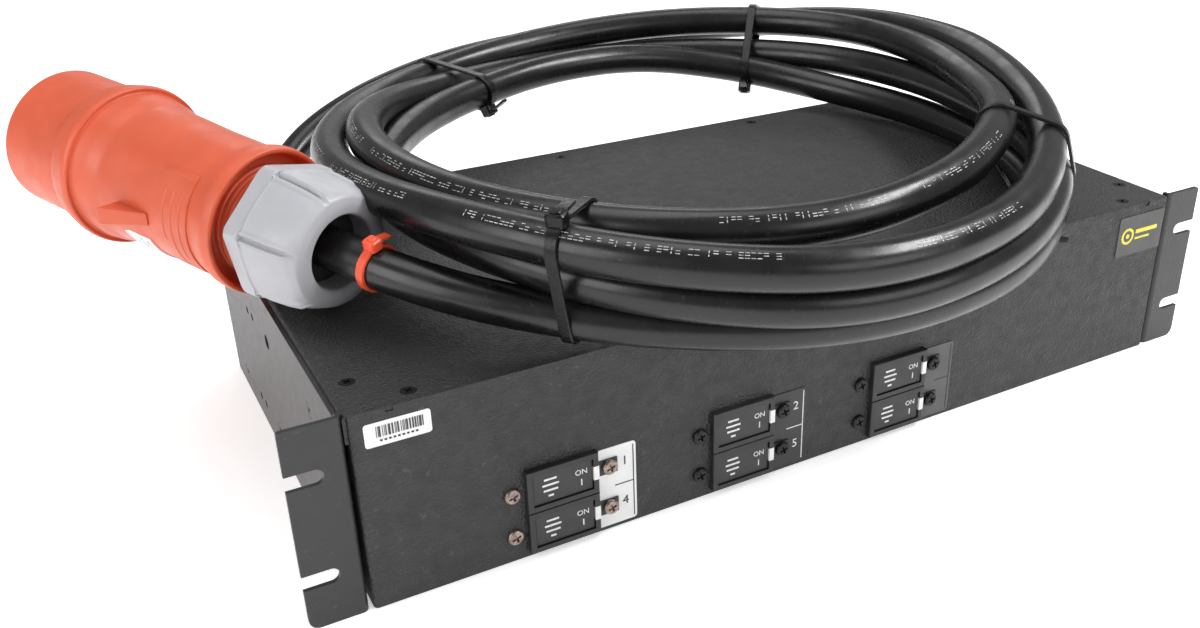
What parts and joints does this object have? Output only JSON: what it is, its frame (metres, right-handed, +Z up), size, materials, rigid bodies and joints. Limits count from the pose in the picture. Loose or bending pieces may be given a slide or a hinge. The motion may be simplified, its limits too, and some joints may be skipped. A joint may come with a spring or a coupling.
{
  "type": "rack power distribution box",
  "caption": "Rack-mount power distribution box with slotted ears, rocker breakers, rear outlets and a coiled heavy supply cord with an industrial plug.",
  "frame": {"origin": "middle of the underside of the case, cord left out", "axes": "+X along the width to the right seen from the front, +Y from the front panel to the rear, +Z up"},
  "size_m": [0.5432, 0.4661, 0.1668],
  "materials": {
    "case_paint": "black textured powder coat",
    "bracket_paint": "black textured powder coat",
    "screw_black": "black oxide",
    "screw_plain": "tarnished steel",
    "screw_zinc": "zinc plated",
    "breaker_plastic": "moulded black",
    "rocker_plastic": "moulded black, printed",
    "flag_white": "moulded white",
    "tab_metal": "tinned brass",
    "label_white": "printed polyester film",
    "label_black": "printed polyester film",
    "label_grey": "printed polyester film",
    "badge_film": "printed polyester film",
    "outlet_plastic": "moulded black",
    "gland_plastic": "moulded black",
    "seal_rubber": "moulded",
    "terminal_plastic": "moulded beige",
    "wire_insulation": "extruded",
    "core_insulation": "extruded",
    "bar_copper": "tinned copper",
    "cord_rubber": "satin black sheath with light print",
    "tie_black": "nylon",
    "tie_red": "nylon",
    "plug_red": "moulded orange-red",
    "plug_insert": "moulded black",
    "nut_grey": "moulded light grey",
    "pin_metal": "nickel-plated brass"
  },
  "bodies": {
    "root": {"base_tray": "case_paint", "top_cover": "case_paint", "rear_panel": "case_paint", "left_rack_bracket": "bracket_paint", "right_rack_bracket": "bracket_paint", "bracket_screws": "screw_black", "cover_screws": "screw_black", "outlet_screws": "screw_black", "breaker_screws_plain": "screw_plain", "breaker_screws_black": "screw_black", "breaker_1_housing": "breaker_plastic", "breaker_2_housing": "breaker_plastic", "breaker_3_housing": "breaker_plastic", "breaker_4_housing": "breaker_plastic", "breaker_5_housing": "breaker_plastic", "breaker_6_housing": "breaker_plastic", "breaker_flags": "flag_white", "breaker_terminals": "tab_metal", "column_label_left": "label_white", "column_label_middle": "label_black", "column_label_right": "label_grey", "serial_label": "label_white", "maker_badge": "badge_film", "outlet_1_body": "outlet_plastic", "outlet_2_body": "outlet_plastic", "outlet_3_body": "outlet_plastic", "outlet_4_body": "outlet_plastic", "outlet_5_body": "outlet_plastic", "outlet_6_body": "outlet_plastic", "outlet_contacts": "tab_metal", "neutral_bar": "bar_copper", "earth_bar": "bar_copper", "cable_gland_body": "gland_plastic", "cable_gland_locknut": "gland_plastic", "cable_gland_cap": "gland_plastic", "cable_gland_seal": "seal_rubber", "terminal_block": "terminal_plastic", "terminal_screws": "screw_zinc", "earth_stud": "screw_zinc", "earth_stud_nuts": "screw_zinc", "load_wires": "wire_insulation", "feed_wires": "wire_insulation", "supply_cores": "core_insulation", "cord_inlet_lead": "cord_rubber", "cord_plug_lead": "cord_rubber", "cord_coil": "cord_rubber", "coil_ties": "tie_black", "plug_tie": "tie_red", "plug_gland_nut": "nut_grey", "plug_seal": "seal_rubber", "plug_housing": "plug_red", "plug_sleeve": "plug_red", "plug_pin_carrier": "plug_insert", "plug_pins": "pin_metal"},
    "rocker_1": {"breaker_1_rocker": "rocker_plastic"},
    "rocker_2": {"breaker_2_rocker": "rocker_plastic"},
    "rocker_3": {"breaker_3_rocker": "rocker_plastic"},
    "rocker_4": {"breaker_4_rocker": "rocker_plastic"},
    "rocker_5": {"breaker_5_rocker": "rocker_plastic"},
    "rocker_6": {"breaker_6_rocker": "rocker_plastic"}
  },
  "joints": [
    {"name": "breaker_1_switch", "type": "hinge", "parent": "root", "child": "rocker_1", "pos_m": [-0.1352, -0.1156, 0.0325], "axis": [0, 0, -1], "range_deg": [0, 12]},
    {"name": "breaker_2_switch", "type": "hinge", "parent": "root", "child": "rocker_2", "pos_m": [-0.0476, -0.1156, 0.0325], "axis": [0, 0, -1], "range_deg": [0, 12]},
    {"name": "breaker_3_switch", "type": "hinge", "parent": "root", "child": "rocker_3", "pos_m": [0.04, -0.1156, 0.0325], "axis": [0, 0, -1], "range_deg": [0, 12]},
    {"name": "breaker_4_switch", "type": "hinge", "parent": "root", "child": "rocker_4", "pos_m": [-0.1352, -0.1156, 0.0125], "axis": [0, 0, -1], "range_deg": [0, 12]},
    {"name": "breaker_5_switch", "type": "hinge", "parent": "root", "child": "rocker_5", "pos_m": [-0.0476, -0.1156, 0.0125], "axis": [0, 0, -1], "range_deg": [0, 12]},
    {"name": "breaker_6_switch", "type": "hinge", "parent": "root", "child": "rocker_6", "pos_m": [0.04, -0.1156, 0.0125], "axis": [0, 0, -1], "range_deg": [0, 12]}
  ]
}
